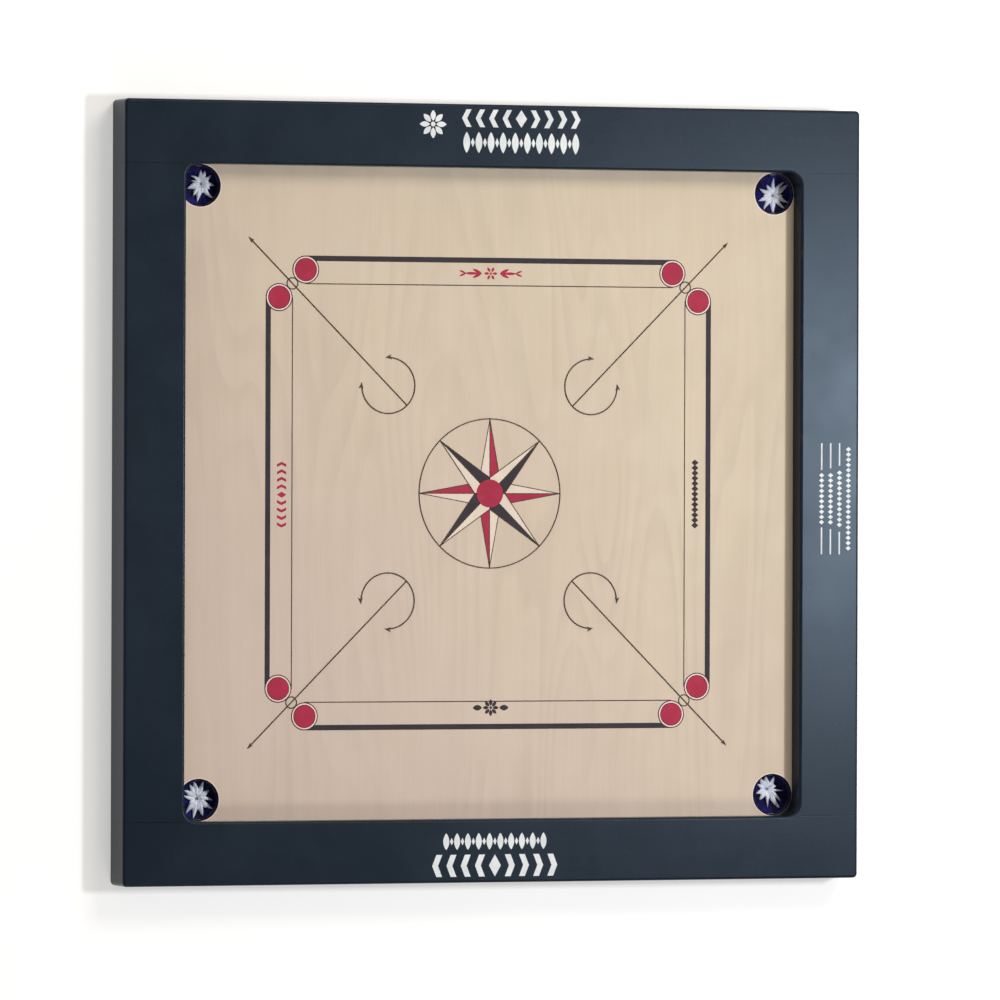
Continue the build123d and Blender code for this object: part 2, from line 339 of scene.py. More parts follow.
def birch_panel():
    """Lacquered birch on top; ply edges inside the holes; plainer, knotty veneer underneath."""
    material, tree, shader = new_material("birch_panel")
    place = object_place(tree)
    x, y, z = parts_of(tree, place)
    color, relief = birch_color(tree, place)

    # Under the board: darker, patchier veneer with small knots
    back_place = stretched(tree, place, (1.0, 1.0, 1.0), (0.31, 0.17, 0.0))
    back_tone = noise_value(tree, stretched(tree, back_place, (14.0, 2.2, 1.0)), 1.0, 5.0, 0.6)
    dark_veneer, light_veneer = (0.50, 0.36, 0.24), (0.62, 0.48, 0.33)
    back = blend(tree, ranged(tree, back_tone, 0.30, 0.72), dark_veneer, light_veneer)
    knots = add(tree, "ShaderNodeTexVoronoi", {"Vector": back_place, "Scale": 5.5})
    distance = knots.outputs["Distance"]
    knot = ranged(tree, distance, 0.055, 0.02)
    halo = ranged(tree, distance, 0.16, 0.05, 0.0, 0.4)
    back = blend(tree, halo, back, (0.40, 0.25, 0.14))
    back = blend(tree, knot, back, (0.12, 0.06, 0.03))

    # Ply layers, about one every 1.5 mm of the thickness
    layer = calc(tree, "FRACT", calc(tree, "MULTIPLY", z, 1.0 / (3.0 * MM)))
    cross_ply = ranged(tree, layer, 0.47, 0.53, smooth=False)
    end_grain = noise_value(tree, place, 900.0, 2.0)
    edge = blend(tree, cross_ply, (0.56, 0.42, 0.27), (0.34, 0.22, 0.13))
    edge = brightened(tree, edge, ranged(tree, end_grain, 0.2, 0.8, 0.75, 1.1, smooth=False))

    # A pale ring round each pocket hole: partly a paler sanded edge, partly a painted highlight along
    # the hole's edge
    low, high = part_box("back_right_pouch")
    middle, hole = (low.x + high.x) / 2, (high.x - low.x) / 2
    radius = distance_from(tree, *from_corner_point(tree, x, y, "back_right_pouch"))
    sanded_edge_highlight = ranged(tree, radius, hole + 1.5 * MM, hole + 0.7 * MM, 0.0, 0.65)
    color = blend(tree, sanded_edge_highlight, color, (0.82, 0.70, 0.60))

    # Painted shade: the slivers of panel between the holes and the coves are given the frame's dark
    # colour, where the corners' shade falls
    nearer = calc(tree, "MINIMUM", calc(tree, "ABSOLUTE", x), calc(tree, "ABSOLUTE", y))
    painted_corner_shade = ranged(tree, nearer, middle + 1.0 * MM, middle + 3.0 * MM)
    color = blend(tree, painted_corner_shade, color, (0.010, 0.014, 0.018))

    upward = normal_up(tree)
    facing_up = ranged(tree, upward, 0.4, 0.6)
    facing_down = ranged(tree, upward, -0.4, -0.6)
    mixed = blend(tree, facing_up, edge, color)
    mixed = blend(tree, facing_down, mixed, back)
    tree.links.new(mixed, shader.inputs["Base Color"])

    smooth_top = ranged(tree, noise_value(tree, place, 22.0, 3.0), 0.3, 0.7, 0.50, 0.58)
    rough = calc(tree, "ADD", smooth_top, ranged(tree, facing_up, 0.0, 1.0, 0.25, 0.0))
    tree.links.new(rough, shader.inputs["Roughness"])
    shader.inputs["IOR"].default_value = 1.42
    bump(tree, shader, relief, 0.02 * MM, 0.5)
    return material


def batten_wood(along):
    """Sawn reddish hardwood with its grain along the batten."""
    material, tree, shader = new_material(f"batten_wood_{along}")
    place = object_place(tree)
    band_place = stretched(tree, place, lengthwise(along, 2.2, 45.0))
    bands = noise_value(tree, band_place, 1.0, 4.0, 0.55, 0.6)
    pore_place = stretched(tree, place, lengthwise(along, 12.0, 600.0))
    pores = noise_value(tree, pore_place, 1.0, 3.0, 0.6)
    saw_place = stretched(tree, place, lengthwise(along, 260.0, 8.0))
    saw = noise_value(tree, saw_place, 1.0, 2.0, 0.5)
    dark_wood, light_wood = (0.30, 0.150, 0.070), (0.50, 0.30, 0.155)
    color = blend(tree, ranged(tree, bands, 0.30, 0.70), dark_wood, light_wood)
    tone = ranged(tree, pores, 0.30, 0.62, 0.72, 1.06)
    color = brightened(tree, color, tone)
    color = brightened(tree, color, ranged(tree, saw, 0.3, 0.7, 0.90, 1.05))
    tree.links.new(color, shader.inputs["Base Color"])
    rough = ranged(tree, pores, 0.3, 0.7, 0.78, 0.62)
    tree.links.new(rough, shader.inputs["Roughness"])
    height = calc(tree, "ADD", pores, calc(tree, "MULTIPLY", saw, 0.8))
    bump(tree, shader, height, 0.12 * MM, 0.8)
    return material


def plated_steel(name, color, rough_low, rough_high):
    """Zinc-plated steel, faintly spangled and scuffed."""
    material, tree, shader = new_material(name)
    place = object_place(tree)
    spangle = noise_value(tree, place, 900.0, 3.0, 0.6)
    scuff = noise_value(tree, stretched(tree, place, (3000.0, 500.0, 900.0)), 1.0, 2.0)
    dull = tuple(channel * 0.62 for channel in color)
    mixed = blend(tree, ranged(tree, spangle, 0.35, 0.65), dull, color)
    tree.links.new(mixed, shader.inputs["Base Color"])
    rough = ranged(tree, spangle, 0.3, 0.7, rough_high, rough_low)
    tree.links.new(rough, shader.inputs["Roughness"])
    shader.inputs["Metallic"].default_value = 1.0
    bump(tree, shader, scuff, 0.02 * MM, 0.6)
    return material


def twisted_cord():
    """Pale cotton cord, its strands twisted round the ring that each tie makes."""
    material, tree, shader = new_material("tie_cord")
    place = object_place(tree)
    x, y, z = parts_of(tree, place)
    local_x, local_y = from_corner_point(tree, x, y, "back_right_pouch_tie")
    angle = calc(tree, "ARCTAN2", local_y, local_x)
    radius = distance_from(tree, local_x, local_y)
    slope = calc(tree, "MULTIPLY", z, 2600.0)
    slope = calc(tree, "ADD", slope, calc(tree, "MULTIPLY", radius, 1500.0))
    phase = calc(tree, "ADD", calc(tree, "MULTIPLY", angle, 22.0), slope)
    strand = calc(tree, "MULTIPLY_ADD", calc(tree, "SINE", phase), 0.5, 0.5)
    fuzz = noise_value(tree, place, 2400.0, 3.0)
    # Painted shade: the cord is darker in the grooves between its strands
    color = blend(tree, strand, (0.30, 0.30, 0.34), (0.70, 0.70, 0.72))
    color = brightened(tree, color, ranged(tree, fuzz, 0.3, 0.7, 0.8, 1.05))
    tree.links.new(color, shader.inputs["Base Color"])
    rough = ranged(tree, fuzz, 0.3, 0.7, 0.85, 0.95)
    tree.links.new(rough, shader.inputs["Roughness"])
    height = calc(tree, "ADD", strand, calc(tree, "MULTIPLY", fuzz, 0.3))
    bump(tree, shader, height, 0.25 * MM, 1.0)
    return material


def pouch_cloth():
    """Woven cloth, navy with a pale base; the mesh says where each colour is and carries painted
    shade and highlight for its folds, rim and gather.
    """
    material, tree, shader = new_material("pouch_cloth")
    place = object_place(tree)
    pale = add(tree, "ShaderNodeAttribute", attribute_name="pale").outputs["Fac"]
    painted_cloth_shade = add(tree, "ShaderNodeAttribute", attribute_name="painted_cloth_shade").outputs["Fac"]
    threads = {"Vector": place, "Scale": 900.0, "Distortion": 0.6}
    warp = add(tree, "ShaderNodeTexWave", threads, bands_direction="X").outputs["Fac"]
    weft = add(tree, "ShaderNodeTexWave", threads, bands_direction="Y").outputs["Fac"]
    weave = calc(tree, "MULTIPLY", calc(tree, "ADD", warp, weft), 0.5)
    fuzz = noise_value(tree, place, 1600.0, 3.0, 0.6)
    faded = noise_value(tree, place, 160.0, 3.0)

    deep_navy, worn_navy = (0.006, 0.004, 0.090), (0.014, 0.009, 0.200)
    navy = blend(tree, ranged(tree, faded, 0.35, 0.7), deep_navy, worn_navy)
    dull_white, clean_white = (0.72, 0.77, 0.92), (0.88, 0.91, 1.00)
    white = blend(tree, ranged(tree, faded, 0.3, 0.7), dull_white, clean_white)
    ragged = calc(tree, "MULTIPLY_ADD", calc(tree, "SUBTRACT", fuzz, 0.5), 0.25, pale)
    color = blend(tree, ranged(tree, ragged, 0.42, 0.58), navy, white)
    # Painted shade and highlight from the mesh: the folds, the rim by the lining and the gather
    color = brightened(tree, color, ranged(tree, painted_cloth_shade, 0.0, 1.0, 0.12, 1.08))
    color = brightened(tree, color, ranged(tree, weave, 0.1, 0.9, 0.82, 1.06))
    tree.links.new(color, shader.inputs["Base Color"])
    rough = ranged(tree, fuzz, 0.3, 0.7, 0.72, 0.88)
    tree.links.new(rough, shader.inputs["Roughness"])
    shader.inputs["Sheen Weight"].default_value = 0.04
    shader.inputs["Specular IOR Level"].default_value = 0.25
    shader.inputs["Sheen Roughness"].default_value = 0.45
    shader.inputs["Sheen Tint"].default_value = (0.75, 0.78, 1.0, 1.0)
    height = calc(tree, "ADD", weave, calc(tree, "MULTIPLY", fuzz, 0.6))
    bump(tree, shader, height, 0.12 * MM, 0.9)
    return material


def ink(name, color, second, thin=0.0):
    """Screen-printed ink: slightly uneven; thin is how much of the wood shows through it."""
    material, tree, shader = new_material(name)
    place = object_place(tree)
    uneven = noise_value(tree, place, 55.0, 4.0, 0.6)
    grainy = noise_value(tree, place, 1400.0, 2.0, 0.6)
    mixed = blend(tree, ranged(tree, uneven, 0.3, 0.7), color, second)
    mixed = brightened(tree, mixed, ranged(tree, grainy, 0.3, 0.7, 0.90, 1.08))
    if thin:
        wood, _ = birch_color(tree, place)
        starved = ranged(tree, grainy, 0.50, 0.75, thin * 0.5, thin)
        mixed = blend(tree, starved, mixed, wood)
    tree.links.new(mixed, shader.inputs["Base Color"])
    roughness = ranged(tree, grainy, 0.3, 0.7, 0.50, 0.62)
    tree.links.new(roughness, shader.inputs["Roughness"])
    shader.inputs["IOR"].default_value = 1.30
    bump(tree, shader, grainy, 0.01 * MM, 0.5)
    return material


def floor_material():
    """Plain pale studio floor with a barely uneven matt surface."""
    material, tree, shader = new_material("studio_floor")
    place = object_place(tree)
    soft = noise_value(tree, place, 2.0, 3.0)
    color = blend(tree, ranged(tree, soft, 0.3, 0.7), (0.65, 0.65, 0.65), (0.67, 0.67, 0.67))
    tree.links.new(color, shader.inputs["Base Color"])

    # A glow in place of the lights that a far larger studio would have, from a metre out
    x, y, _ = parts_of(tree, place)
    glow = ranged(tree, distance_from(tree, x, y), 1.0, 4.0, 0.677, 1.0)
    glow = brightened(tree, (1.0, 1.0, 1.0), glow)
    tree.links.new(glow, shader.inputs["Emission Color"])
    shader.inputs["Emission Strength"].default_value = 0.62
    shader.inputs["Roughness"].default_value = 0.9
    shader.inputs["Specular IOR Level"].default_value = 0.1
    return material


# ---------------------------------------------------------------- outlines for printed films

def circle(centre, radius, steps=96):
    """A circle's outline."""
    points = []
    for index in range(steps):
        angle = 2 * math.pi * index / steps
        points.append((centre[0] + radius * math.cos(angle), centre[1] + radius * math.sin(angle)))
    return points


def bar(start, end, width):
    """A straight line's outline."""
    direction = Vector((end[0] - start[0], end[1] - start[1])).normalized()
    side = Vector((-direction.y, direction.x)) * width / 2
    first, last = Vector(start), Vector(end)
    return [tuple(first - side), tuple(last - side), tuple(last + side), tuple(first + side)]


def arrow_head(tip, direction, length, width, barb=0.22):
    """A narrow arrowhead with swept-back barbs."""
    ahead = Vector(direction).normalized()
    side = Vector((-ahead.y, ahead.x)) * width / 2
    point = Vector(tip)
    base = point - ahead * length
    notch = point - ahead * length * (1 - barb)
    return [tuple(point), tuple(base + side), tuple(notch), tuple(base - side)]


def arc_band(centre, radius, width, start, end, steps=72):
    """A curved line's outline; angles in degrees."""
    outer, inner = [], []
    for index in range(steps + 1):
        angle = math.radians(start + (end - start) * index / steps)
        ray = (math.cos(angle), math.sin(angle))
        far, near = radius + width / 2, radius - width / 2
        outer.append((centre[0] + far * ray[0], centre[1] + far * ray[1]))
        inner.append((centre[0] + near * ray[0], centre[1] + near * ray[1]))
    return outer + inner[::-1]


def lozenge(centre, half_x, half_y):
    """A diamond, with a point in the middle of each side as well."""
    points = []
    for index in range(4):
        angle = math.pi / 2 * index
        points.append((half_x * math.cos(angle), half_y * math.sin(angle)))
        middle = math.pi / 4 + angle
        reach = 1 / math.sqrt(2)
        points.append((half_x * math.cos(middle) * reach, half_y * math.sin(middle) * reach))
    return [(centre[0] + x, centre[1] + y) for x, y in points]


def leaf(start, end, bulge, steps=14):
    """A pointed leaf from one point to another, bulging to both sides."""
    first, last = Vector(start), Vector(end)
    along = last - first
    side = Vector((-along.y, along.x)).normalized()
    upper, lower = [], []
    for index in range(steps + 1):
        share = index / steps
        swell = bulge * math.sin(math.pi * share) ** 0.8
        middle = first + along * share
        upper.append(tuple(middle + side * swell))
        lower.append(tuple(middle - side * swell))
    return upper + lower[-2:0:-1]


def moved(outline, shift, turn=0.0):
    """An outline turned about the origin, then shifted."""
    angle = math.radians(turn)
    cos, sin = math.cos(angle), math.sin(angle)
    return [(x * cos - y * sin + shift[0], x * sin + y * cos + shift[1]) for x, y in outline]


def quarters(outline):
    """The same outline in all four quarters of the board, by quarter turns."""
    return [moved(outline, (0, 0), turn) for turn in (0, 90, 180, 270)]


def film(name, shapes, material, base_z=SURFACE_Z):
    """One printed piece: shapes are (outline, hole or None, layer), made into thin closed films."""
    vertices, faces = [], []
    for outline, hole, layer in shapes:
        low = base_z + FILM_GAP
        high = base_z + FILM_STEP * layer
        start = len(vertices)
        count = len(outline)
        for z in (low, high):
            vertices += [(x * MM, y * MM, z * MM) for x, y in outline]
        sides = [(i, (i + 1) % count) for i in range(count)]
        if hole is None:
            area = sum(
                outline[i][0] * outline[j][1] - outline[j][0] * outline[i][1] for i, j in sides
            )
            order = list(range(count)) if area > 0 else list(range(count))[::-1]
            faces.append([start + count + i for i in order])
            faces.append([start + i for i in order[::-1]])
            for i, j in sides:
                if area < 0:
                    i, j = j, i
                faces.append([start + i, start + j, start + count + j, start + count + i])
            continue
        inner = start + 2 * count
        for z in (low, high):
            vertices += [(x * MM, y * MM, z * MM) for x, y in hole]
        for i, j in sides:
            faces.append([start + i, start + j, start + count + j, start + count + i])
            faces.append([inner + j, inner + i, inner + count + i, inner + count + j])
            faces.append([start + count + i, start + count + j, inner + count + j, inner + count + i])
            faces.append([start + j, start + i, inner + i, inner + j])
    mesh = bpy.data.meshes.new(name)
    mesh.from_pydata(vertices, [], faces)
    mesh.update()
    made = bpy.data.objects.new(name, mesh)
    bpy.context.scene.collection.objects.link(made)
    mesh.materials.append(material)
    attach(made, "root")
    return made


# ---------------------------------------------------------------- the printed markings

def base_lines():
    """The thick outer line and the thin inner line along each side, and the corner circles."""
    thick, thin = [], []
    for (near, far), lines in ((THICK_LINE, thick), (THIN_LINE, thin)):
        middle = (near + far) / 2
        for outline in quarters(bar((-LINE_ACROSS, middle), (LINE_ACROSS, middle), far - near)):
            lines.append((outline, None, 1))
    for side_x, side_y in CORNERS.values():
        centre = (side_x * CORNER_CIRCLE_AT, side_y * CORNER_CIRCLE_AT)
        thin.append((circle(centre, CORNER_CIRCLE[1], 64), circle(centre, CORNER_CIRCLE[0], 64), 5))
    return thick, thin


def base_circles():
    """The eight base circles: a dark rim, a pale band, a dark ring and a red disc."""
    rims, bands, discs = [], [], []
    for side_x, side_y in CORNERS.values():
        for at_x, at_y in ((LINE_ACROSS, LINE_SIDE), (LINE_SIDE, LINE_ACROSS)):
            centre = (side_x * at_x, side_y * at_y)
            rims.append((circle(centre, BASE_OUTER), None, 2))
            bands.append((circle(centre, BASE_BAND), None, 3))
            rims.append((circle(centre, BASE_RING), None, 4))
            discs.append((circle(centre, BASE_DISC), None, 5))
    return rims, bands, discs


def corner_arrows():
    """The diagonal arrows, each with its open arc and two arrowheads."""
    shapes = []
    start = (ARROW_START, ARROW_START)
    neck = ARROW_TIP - 4.0
    ahead = (1, 1)
    arc = arc_band((ARC_CENTRE, ARC_CENTRE), ARC_RADIUS, ARROW_WIDTH, 92, 358)
    edge = ARC_CENTRE + ARC_RADIUS
    right_tip = (edge, ARC_CENTRE + 3.5)
    top_tip = (ARC_CENTRE + 3.5, edge)
    pieces = [
        (bar(start, (neck, neck), ARROW_WIDTH), 6),
        (arrow_head((ARROW_TIP, ARROW_TIP), ahead, 7.5, 4.4), 7),
        (arc, 7),
        (arrow_head(right_tip, (-0.12, 1), 7.3, 5.2), 8),
        (arrow_head(top_tip, (1, -0.12), 7.3, 5.2), 8),
    ]
    for outline, layer in pieces:
        shapes += [(turned, None, layer) for turned in quarters(outline)]
    return shapes


def edge_lines(outline, width):
    """The sides of a closed outline as thin bars."""
    count = len(outline)
    return [bar(outline[i], outline[(i + 1) % count], width) for i in range(count)]


def star():
    """The eight-point star: four red and pale points under four dark and pale ones."""
    red, dark, pale, lines = [], [], [], []
    for inner, offset, layer, colored in (
        (STAR_RED_WAIST, 0, 1, red),
        (STAR_DARK_WAIST, 45, 4, dark),
    ):
        for turn in (0, 90, 180, 270):
            angle = math.radians(turn + offset)
            tip = (STAR_TIP * math.cos(angle), STAR_TIP * math.sin(angle))
            clockwise = angle - math.pi / 4
            counter = angle + math.pi / 4
            near = (inner * math.cos(clockwise), inner * math.sin(clockwise))
            far = (inner * math.cos(counter), inner * math.sin(counter))
            colored.append(([(0, 0), near, tip], None, layer))
            pale.append(([(0, 0), tip, far], None, layer))
            for outline in edge_lines([(0, 0), near, tip, far], STAR_OUTLINE):
                lines.append((outline, None, layer + 2))
            lines.append((bar((0, 0), tip, STAR_OUTLINE), None, layer + 2))
    return red, dark, pale, lines


def centre_circle():
    """The large ring round the star."""
    return [(circle((0, 0), CENTRE_CIRCLE[1], 160), circle((0, 0), CENTRE_CIRCLE[0], 160), 8)]


# ---------------------------------------------------------------- plain ornaments

def rosette(radius, petals, bulge):
    """A ring of leaves round a middle point, about the origin."""
    shapes = []
    for index in range(petals):
        angle = 2 * math.pi * index / petals
        ray = (math.cos(angle), math.sin(angle))
        start = (ray[0] * radius * 0.24, ray[1] * radius * 0.24)
        end = (ray[0] * radius, ray[1] * radius)
        shapes.append(leaf(start, end, bulge))
    shapes.append(circle((0, 0), radius * 0.17, 24))
    return shapes


def leaf_border(length, height, repeats):
    """Upright lens shapes and lozenges in turn, along X about the origin."""
    shapes = []
    step = length / repeats
    for index in range(repeats):
        x = -length / 2 + step * (index + 0.5)
        shapes.append(leaf((x, -height / 2), (x, height / 2), step * 0.28))
        if index < repeats - 1:
            shapes.append(lozenge((x + step / 2, 0), step * 0.16, height * 0.22))
    return shapes


def chevron_border(length, height, repeats, thick):
    """Bold chevrons that point away from the middle, along X about the origin."""
    shapes = []
    step = length / repeats
    for index in range(repeats):
        x = -length / 2 + step * (index + 0.5)
        way = 1 if x > 0.01 else -1
        if abs(x) < 0.01:
            shapes.append(lozenge((0, 0), step * 0.42, height / 2))
            continue
        tip, tail = step * 0.40 * way, -step * 0.30 * way
        band = thick * way
        shapes.append([
            (x + tail, height / 2), (x + tail + band, height / 2), (x + tip, 0),
            (x + tail + band, -height / 2), (x + tail, -height / 2), (x + tip - band, 0),
        ])
    return shapes


def bead_row(length, size, spacing):
    """A row of small lozenges along X about the origin."""
    count = max(1, int(length / spacing))
    start = -spacing * (count - 1) / 2
    return [lozenge((start + spacing * i, 0), size * 0.42, size / 2) for i in range(count)]


def placed(outlines, shift, turn=0.0):
    """Outlines moved into place as one-layer films."""
    return [(moved(outline, shift, turn), None, 1) for outline in outlines]


def rail_ornaments(material):
    """White prints on the rails, each facing the player at that side."""
    back = placed(rosette(16.0, 8, 3.1), (-78.0, 418.5))
    back += placed(chevron_border(146.0, 20.0, 9, 6.0), (28.0, 426.0))
    back += placed(leaf_border(146.0, 24.0, 10), (28.0, 398.5))
    film("back_rail_ornament", back, material, RAIL_TOP_Z)

    front = placed(chevron_border(154.0, 25.0, 9, 7.0), (-1.0, -422.5), 180)
    front += placed(leaf_border(130.0, 19.0, 10), (-1.0, -395.0), 180)
    film("front_rail_ornament", front, material, RAIL_TOP_Z)

    right = []
    columns = ((396.0, 64.0, 31.0), (407.0, 65.0, 29.0), (418.0, 71.0, 26.0), (429.0, 124.0, 0.0))
    middle, rule_end = -5.0, 64.0
    for x, beads, rule in columns:
        right += placed(bead_row(beads, 6.4, 6.0), (x, middle), 90)
        if rule:
            for side in (-1, 1):
                start = (x, middle + side * (rule_end - rule))
                end = (x, middle + side * rule_end)
                right.append((bar(start, end, 1.7), None, 1))
    film("right_rail_ornament", right, material, RAIL_TOP_Z)


def surface_ornaments(dark, red):
    """Small prints in the four base rectangles."""
    scroll = rosette(8.0, 6, 1.5)
    for side in (-1, 1):
        for start, end, bulge in (
            ((11, 0), (22, 5.0), 1.7), ((11, 0), (22, -5.0), 1.7), ((14, 0), (32, 0), 1.6),
            ((30, 0), (38, 3.4), 1.1), ((30, 0), (38, -3.4), 1.1),
        ):
            scroll.append(leaf((side * start[0], start[1]), (side * end[0], end[1]), bulge))
    film("back_base_ornament", placed(scroll, (0.5, 250.5)), red)

    chain = chevron_border(76.0, 11.0, 9, 3.2)
    film("left_base_ornament", placed(chain, (-249.0, -2.0), 90), red)
    small = bead_row(78.0, 8.6, 6.0)
    film("right_base_ornament", placed(small, (249.5, 0.0), 90), dark)

    crest = rosette(9.5, 8, 2.0)
    for side in (-1, 1):
        crest.append(leaf((side * 10.5, 0), (side * 21.5, 0), 3.2))
    film("front_base_ornament", placed(crest, (2.0, -244.0)), dark)


# ---------------------------------------------------------------- cloth pouches

POUCH_SPOKES = 288
POUCH_SEED = 21
CLOTH = 0.9                  # thickness of the cloth
LINING_GAP = 0.15            # between the cloth and its space in the hole
POUCH_FLOOR = 8.8            # height of the cloth's upper face at the foot of the bowl
BOWL_RADIUS = 7.5
NECK_RADIUS = 1.45
FOLD_SPREAD = 1.25           # widens every pale fold
FOLD_HEIGHT = 3.6            # how far the pale folds stand up
HUB_RADIUS = 8.6             # the pale middle that the folds run out of
HUB_SWAY = 2.4
GATHER_DIP = 2.2             # depth and radius of the dimple at the gather
GATHER_RADIUS = 2.0
# radius of the painted shade at the gather
GATHER_SHADE_RADIUS = 2.2
RIM_SHADE = 3.5              # painted shade darkens the cloth this near to the lining
# Each pouch: shift of the gather from the middle, and its folds as (angle in degrees, reach,
# half width, sideways bend in degrees)
POUCHES = {
    "back_left": ((5.5, 2.3), (
        (2, 15.0, 3.6, -10), (38, 15.5, 2.6, 4), (70, 15.0, 3.0, 6), (99, 16.0, 3.2, -6),
        (126, 15.5, 2.2, 20), (154, 13.0, 1.4, 12), (194, 17.5, 4.2, 4), (226, 17.5, 3.0, 10),
        (253, 21.0, 3.4, 4), (299, 21.5, 3.2, 10), (276, 11.0, 2.6, 0), (330, 11.5, 2.6, 0),
    )),
    "back_right": ((4.0, -1.5), (
        (356, 12.0, 3.0, 5), (30, 21.0, 3.2, 8), (59, 21.0, 2.6, -8), (94, 20.5, 2.6, -6),
        (124, 15.0, 3.0, 0), (160, 18.5, 2.8, -5), (200, 19.0, 3.4, 0), (228, 20.0, 3.0, 6),
        (268, 20.5, 3.6, 0), (305, 20.5, 2.4, 6), (338, 19.0, 3.2, -4), (180, 12.0, 3.6, 0),
    )),
    "front_left": ((2.6, 0.7), (
        (8, 18.5, 2.6, -14), (31, 17.5, 3.8, 6), (66, 21.0, 3.4, 6), (97, 20.0, 4.0, 4),
        (118, 19.0, 3.6, 0), (142, 18.5, 3.4, 5), (176, 17.5, 2.6, -9), (226, 21.0, 3.2, 6),
        (258, 22.5, 3.4, 0), (294, 20.5, 3.6, -6), (324, 21.0, 3.6, 3), (205, 10.5, 3.0, 0),
    )),
    "front_right": ((-0.6, 5.8), (
        (352, 20.0, 1.5, 3), (50, 16.5, 3.2, 14), (96, 15.0, 3.8, 4), (128, 15.5, 3.8, 0),
        (156, 14.0, 3.4, 0), (200, 15.0, 3.4, 0), (232, 16.0, 3.4, 0), (268, 21.5, 2.2, 4),
        (300, 26.0, 3.6, 4), (324, 22.0, 2.6, -4), (20, 11.0, 3.0, 0),
    )),
}


def folded(angle, radius, folds):
    """How far inside a fold a point is: 0 at its edge or outside, 1 on its ridge."""
    best = 0.0
    for degrees, reach, half_width, bend in folds:
        if radius >= reach:
            continue
        share = radius / reach
        middle = math.radians(degrees + bend * share * share)
        away = abs((angle - middle + math.pi) % (2 * math.pi) - math.pi)
        across = radius * math.sin(min(away, math.pi / 2))
        width = FOLD_SPREAD * half_width * (1 - share ** 2.2) ** 0.8
        best = max(best, 1 - across / max(width, 0.01))
    return max(0.0, best)


def ring_plan(rim_z, stub_z, inner_radius):
    """The cloth's path from the rim to the end of its gathered tail: (zone, radius, height)."""
    rings = []
    bowl_top = POUCH_FLOOR + BOWL_RADIUS
    for step in range(11):
        rings.append(("wall", inner_radius, rim_z + (bowl_top - rim_z) * step / 10))
    bowl_middle = inner_radius - BOWL_RADIUS
    for step in range(1, 15):
        turn = math.pi / 2 * step / 15
        radius = bowl_middle + BOWL_RADIUS * math.cos(turn)
        rings.append(("floor", radius, bowl_top - BOWL_RADIUS * math.sin(turn)))
    for step in range(37):
        rings.append(("floor", bowl_middle + (1.1 - bowl_middle) * step / 36, POUCH_FLOOR))
    for height in (7.6, 6.6, 5.6, 4.6, 3.6):
        rings.append(("neck", NECK_RADIUS, height))
    rings.append(("tail", NECK_RADIUS + 0.35, stub_z + 0.9))
    rings.append(("tail", NECK_RADIUS + 0.6, stub_z + 0.35))
    return rings


